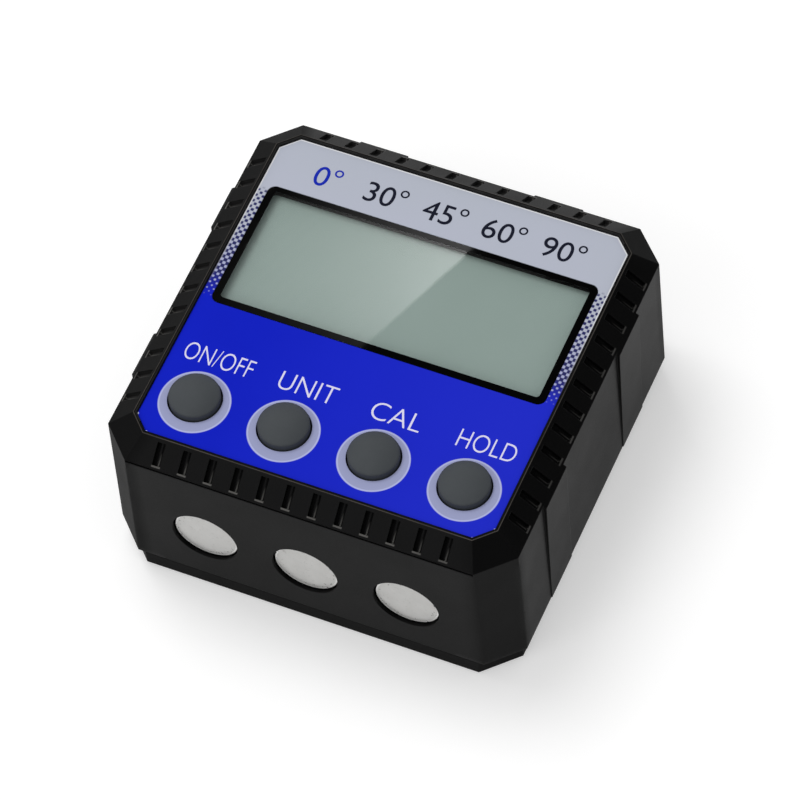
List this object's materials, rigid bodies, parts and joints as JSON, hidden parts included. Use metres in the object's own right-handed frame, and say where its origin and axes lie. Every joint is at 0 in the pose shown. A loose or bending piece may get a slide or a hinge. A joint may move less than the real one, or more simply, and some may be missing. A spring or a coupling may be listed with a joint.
{
  "type": "digital angle gauge",
  "caption": "Eight-sided box gauge with a grooved bezel, display window, push keys and disc magnets let into its base wall, for reading the tilt of a surface.",
  "frame": {"origin": "middle of the overall box, on the back that it lies on", "axes": "+X along the base wall, +Y from the base wall to the top of the display, +Z out of the face"},
  "size_m": [0.0528, 0.0524, 0.0263],
  "materials": {
    "housing_plastic": "satin moulded black",
    "face_print": "printed silver and blue, satin",
    "clear_window": "clear gloss with black border",
    "lcd_glass": "grey-green, satin",
    "frame_plastic": "matte white",
    "strip_rubber": "matte",
    "key_rubber": "matte grey",
    "switch_plastic": "matte black",
    "board_laminate": "green solder mask",
    "chip_black": "matte black",
    "magnet_nickel": "nickel plated, satin",
    "cell_jacket": "plain printed jacket",
    "contact_metal": "nickel plated steel",
    "lead_insulation": "coloured insulation",
    "screw_steel": "zinc plated"
  },
  "bodies": {
    "case": {"front_housing": "housing_plastic", "back_cover": "housing_plastic", "face_panel": "face_print", "display_window": "clear_window", "lcd_panel": "lcd_glass", "lcd_frame": "frame_plastic", "contact_strips": "strip_rubber", "key_switches": "switch_plastic", "circuit_board": "board_laminate", "tilt_sensor": "chip_black", "controller_chip": "chip_black", "base_magnet_left": "magnet_nickel", "base_magnet_middle": "magnet_nickel", "base_magnet_right": "magnet_nickel", "battery_cell_lower": "cell_jacket", "battery_cell_upper": "cell_jacket", "battery_spring_contact": "contact_metal", "battery_plate_contact": "contact_metal", "battery_bridge_contact": "contact_metal", "battery_leads": "lead_insulation", "case_screws": "screw_steel", "board_screws": "screw_steel"},
    "power_button": {"power_key": "key_rubber", "power_plunger": "switch_plastic"},
    "unit_button": {"unit_key": "key_rubber", "unit_plunger": "switch_plastic"},
    "zero_button": {"zero_key": "key_rubber", "zero_plunger": "switch_plastic"},
    "hold_button": {"hold_key": "key_rubber", "hold_plunger": "switch_plastic"},
    "door": {"battery_door": "housing_plastic"}
  },
  "joints": [
    {"name": "power_press", "type": "slide", "parent": "case", "child": "power_button", "axis": [0, 0, -1], "range_m": [0, 0.0005], "stiffness_N_per_m": 2000, "springref_m": -0.0002},
    {"name": "unit_press", "type": "slide", "parent": "case", "child": "unit_button", "axis": [0, 0, -1], "range_m": [0, 0.0005], "stiffness_N_per_m": 2000, "springref_m": -0.0002},
    {"name": "zero_press", "type": "slide", "parent": "case", "child": "zero_button", "axis": [0, 0, -1], "range_m": [0, 0.0005], "stiffness_N_per_m": 2000, "springref_m": -0.0002},
    {"name": "hold_press", "type": "slide", "parent": "case", "child": "hold_button", "axis": [0, 0, -1], "range_m": [0, 0.0005], "stiffness_N_per_m": 2000, "springref_m": -0.0002},
    {"name": "door_slide", "type": "slide", "parent": "case", "child": "door", "axis": [0, 1, 0], "range_m": [0, 0.022]}
  ]
}
